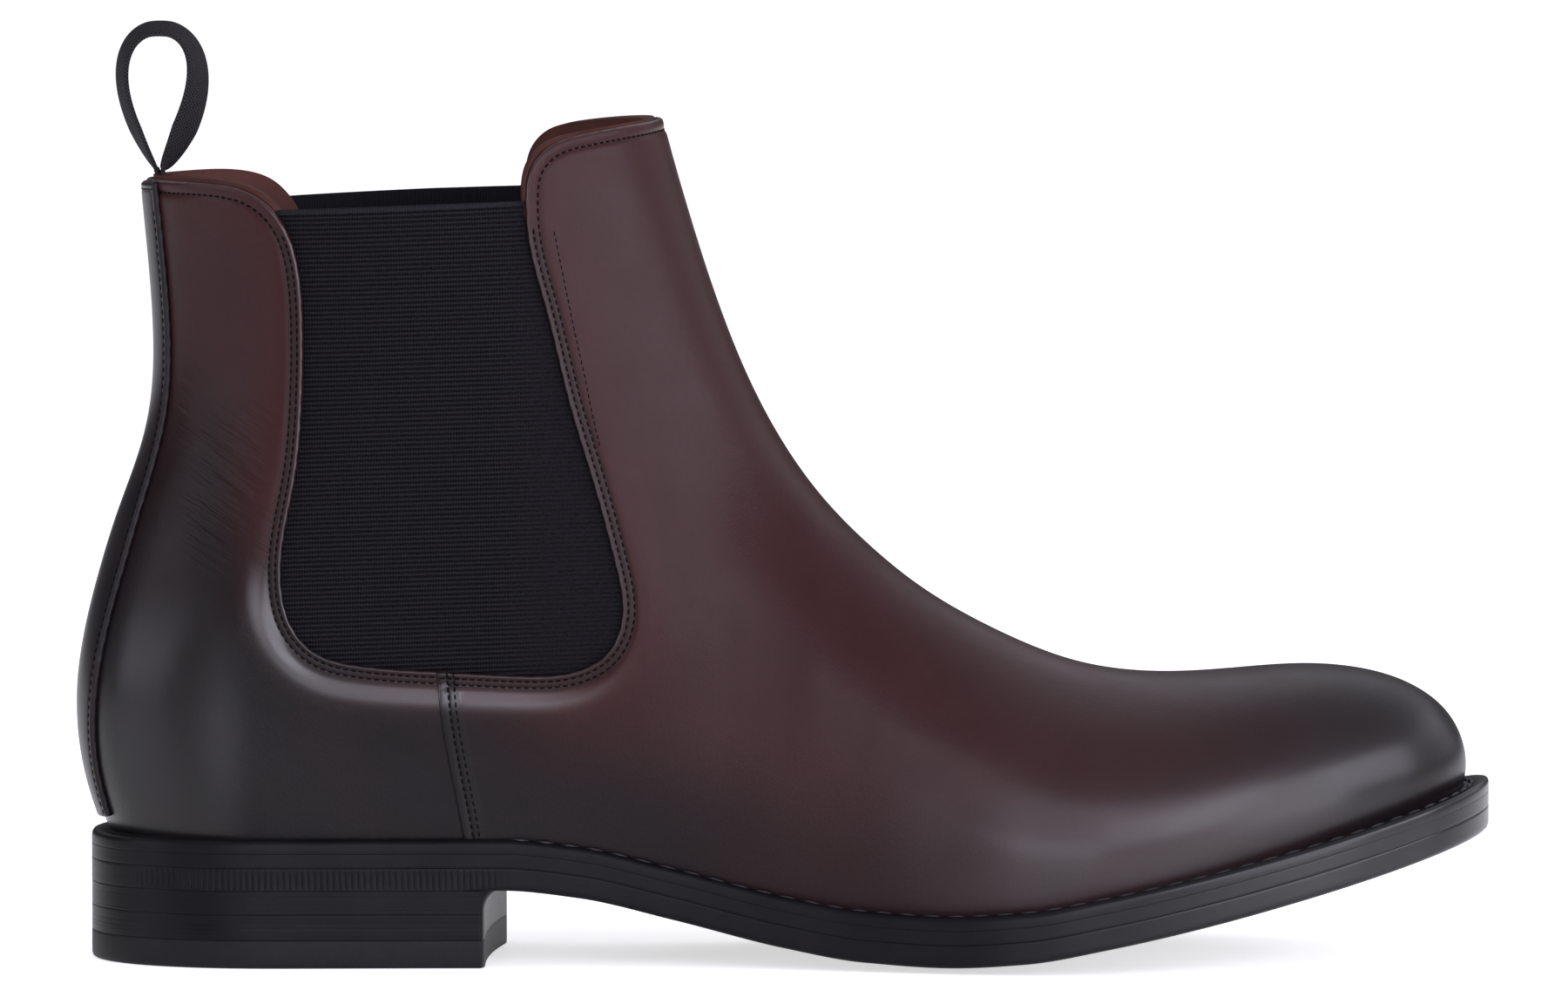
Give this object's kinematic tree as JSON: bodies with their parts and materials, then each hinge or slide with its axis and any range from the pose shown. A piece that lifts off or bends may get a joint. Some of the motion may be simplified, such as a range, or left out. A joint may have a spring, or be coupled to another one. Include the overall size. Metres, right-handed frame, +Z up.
{
  "type": "chelsea boot",
  "caption": "Low-heeled chelsea boot for the right foot, with elastic side gores, a welted leather sole, a stacked heel and a webbing pull loop that flops.",
  "frame": {"origin": "centre of the bounding box in plan, on the ground plane the boot stands on", "axes": "+X towards the toe, +Y towards the medial (inner) side of the foot, +Z up"},
  "size_m": [0.3089, 0.1054, 0.2046],
  "materials": {
    "upper_leather": "hand-burnished, semi-gloss",
    "strap_leather": "near-black, semi-gloss",
    "elastic": "black ribbed elastic",
    "webbing": "black woven tape",
    "lining_leather": "unfinished red-brown calf",
    "sole_leather": "black edge dressing, waxed",
    "natural_leather": "vegetable tanned",
    "stiffener": "leatherboard",
    "canvas": "cotton canvas",
    "cork": "cork paste",
    "rubber": "black, fine textured",
    "steel": "bare",
    "brass": "bare"
  },
  "bodies": {
    "boot": {"vamp": "upper_leather", "quarter_lateral": "upper_leather", "quarter_medial": "upper_leather", "back_strap": "strap_leather", "gore_lateral": "elastic", "gore_medial": "elastic", "heel_counter": "stiffener", "toe_puff": "stiffener", "vamp_interlining": "canvas", "quarter_interlining": "canvas", "vamp_lining": "lining_leather", "quarter_lining": "lining_leather", "pull_loop_ends": "webbing", "outsole": "sole_leather", "midsole": "sole_leather", "welt": "sole_leather", "insole_rib": "canvas", "cork_filler": "cork", "shank": "steel", "insole": "natural_leather", "sock_liner": "lining_leather", "heel_lift_upper": "sole_leather", "heel_lift_lower": "sole_leather", "top_lift": "rubber", "heel_nail_1": "steel", "heel_nail_2": "steel", "heel_nail_3": "steel", "heel_nail_4": "steel", "heel_nail_5": "steel", "top_lift_nail_1": "brass", "top_lift_nail_2": "brass", "top_lift_nail_3": "brass", "top_lift_nail_4": "brass", "top_lift_nail_5": "brass", "top_lift_nail_6": "brass"},
    "pull_loop": {"pull_loop": "webbing"}
  },
  "joints": [
    {"name": "pull_loop_flop", "type": "hinge", "parent": "boot", "child": "pull_loop", "pos_m": [-0.1362, 0, 0.172], "axis": [0, 1, 0], "range_deg": [-45, 50], "stiffness_Nm_per_rad": 0.002}
  ]
}
